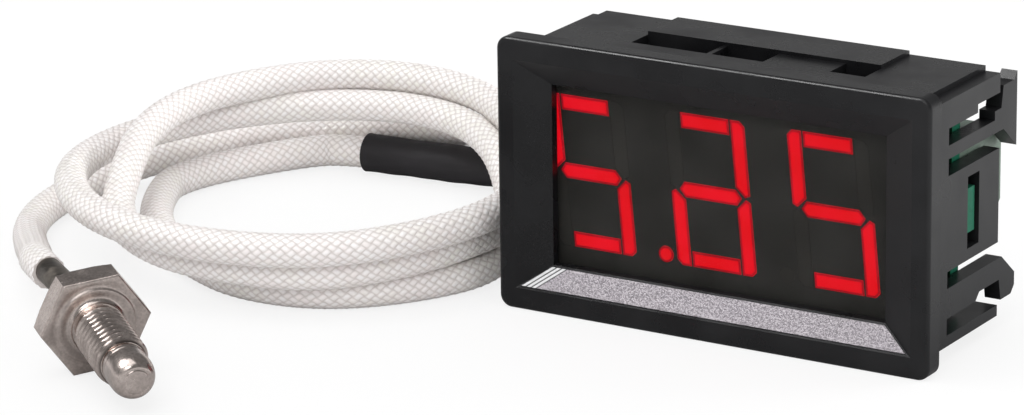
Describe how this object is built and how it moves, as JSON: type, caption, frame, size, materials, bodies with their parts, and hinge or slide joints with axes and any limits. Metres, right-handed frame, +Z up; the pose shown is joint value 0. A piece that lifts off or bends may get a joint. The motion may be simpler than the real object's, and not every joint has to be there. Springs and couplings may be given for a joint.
{
  "type": "digital panel thermometer",
  "caption": "Snap-in panel thermometer with a red segment display, rear screw terminals and a screw-in probe on a braided lead.",
  "frame": {"origin": "on the surface that the meter stands on, under the middle of the meter's own box", "axes": "+X along the bezel to the right seen from the front, +Y back through the panel, +Z up"},
  "size_m": [0.1006, 0.0788, 0.0263],
  "materials": {
    "housing_plastic": "fine satin moulding, slightly glossy edges",
    "smoked_filter": "smoked clear acrylic",
    "silver_label": "speckled silver film",
    "lit_segment": "glowing red diffuser",
    "unlit_segment": "clear diffuser, unlit",
    "display_case": "matt reflector case",
    "tinned_metal": "bright tin",
    "board_laminate": "green solder mask over glass laminate",
    "solder": "shiny solder",
    "terminal_plastic": "moulded green",
    "chip_epoxy": "moulded epoxy",
    "capacitor_can": "drawn can",
    "resistor_body": "dark glaze with tinned ends",
    "ceramic_body": "fired ceramic with tinned ends",
    "nickel_plate": "turned and nickel plated",
    "crimped_steel": "dark crimped tube",
    "thermocouple_alloy": "drawn alloy wire",
    "heat_shrink": "shrunk sleeve with a soft sheen",
    "braid": "fine woven wire braid",
    "lead_yellow": "lacquered glass-fibre sleeve",
    "lead_red": "lacquered glass-fibre sleeve",
    "clamp_plate": "plated pressing",
    "screw_zinc": "zinc plated"
  },
  "bodies": {
    "meter": {"front_housing": "housing_plastic", "display_filter": "smoked_filter", "trim_label": "silver_label", "lit_segments": "lit_segment", "unlit_segments": "unlit_segment", "display_module": "display_case", "display_pins": "tinned_metal", "circuit_board": "board_laminate", "solder_joints": "solder", "terminal_block": "terminal_plastic", "terminal_contacts": "tinned_metal", "microcontroller": "chip_epoxy", "input_amplifier": "chip_epoxy", "chip_leads": "tinned_metal", "voltage_regulator": "chip_epoxy", "smoothing_capacitor": "capacitor_can", "capacitor_base": "chip_epoxy", "protection_diode": "chip_epoxy", "chip_resistors": "resistor_body", "chip_capacitors": "ceramic_body", "sensor_sheath": "nickel_plate", "crimp_ferrule": "crimped_steel", "thermocouple_junction": "thermocouple_alloy", "heat_shrink_sleeve": "heat_shrink", "cord_coil": "braid", "cord_tail": "braid", "lead_positive": "lead_yellow", "wire_end_positive": "thermocouple_alloy", "lead_negative": "lead_red", "wire_end_negative": "thermocouple_alloy"},
    "screw_1": {"terminal_screw_1": "screw_zinc"},
    "clamp_1": {"wire_clamp_1": "clamp_plate"},
    "screw_2": {"terminal_screw_2": "screw_zinc"},
    "clamp_2": {"wire_clamp_2": "clamp_plate"},
    "screw_3": {"terminal_screw_3": "screw_zinc"},
    "clamp_3": {"wire_clamp_3": "clamp_plate"},
    "screw_4": {"terminal_screw_4": "screw_zinc"},
    "clamp_4": {"wire_clamp_4": "clamp_plate"},
    "probe_nut": {"probe_screw": "nickel_plate"}
  },
  "joints": [
    {"name": "screw_turn_1", "type": "hinge", "parent": "meter", "child": "screw_1", "pos_m": [0.0019, 0, 0.0152], "axis": [0, 1, 0], "range_deg": [0, 541]},
    {"name": "clamp_slide_1", "type": "slide", "parent": "meter", "child": "clamp_1", "axis": [0, 1, 0], "range_m": [-0.0006, 0]},
    {"name": "screw_turn_2", "type": "hinge", "parent": "meter", "child": "screw_2", "pos_m": [0.0069, 0, 0.0152], "axis": [0, 1, 0], "range_deg": [0, 541]},
    {"name": "clamp_slide_2", "type": "slide", "parent": "meter", "child": "clamp_2", "axis": [0, 1, 0], "range_m": [-0.0006, 0]},
    {"name": "screw_turn_3", "type": "hinge", "parent": "meter", "child": "screw_3", "pos_m": [0.0119, 0, 0.0152], "axis": [0, 1, 0], "range_deg": [-1081, 0]},
    {"name": "clamp_slide_3", "type": "slide", "parent": "meter", "child": "clamp_3", "axis": [0, 1, 0], "range_m": [0, 0.0012]},
    {"name": "screw_turn_4", "type": "hinge", "parent": "meter", "child": "screw_4", "pos_m": [0.0169, 0, 0.0152], "axis": [0, 1, 0], "range_deg": [-1081, 0]},
    {"name": "clamp_slide_4", "type": "slide", "parent": "meter", "child": "clamp_4", "axis": [0, 1, 0], "range_m": [0, 0.0012]},
    {"name": "probe_screw_turn", "type": "hinge", "parent": "meter", "child": "probe_nut", "pos_m": [-0.0435, -0.0448, 0.00471], "axis": [0.7863, -0.6077, -0.1115], "continuous": true}
  ],
  "couplings": [
    {"joint": "screw_turn_1", "follows": "clamp_slide_1", "rad_per_m": -15708},
    {"joint": "screw_turn_2", "follows": "clamp_slide_2", "rad_per_m": -15708},
    {"joint": "screw_turn_3", "follows": "clamp_slide_3", "rad_per_m": -15708},
    {"joint": "screw_turn_4", "follows": "clamp_slide_4", "rad_per_m": -15708}
  ]
}
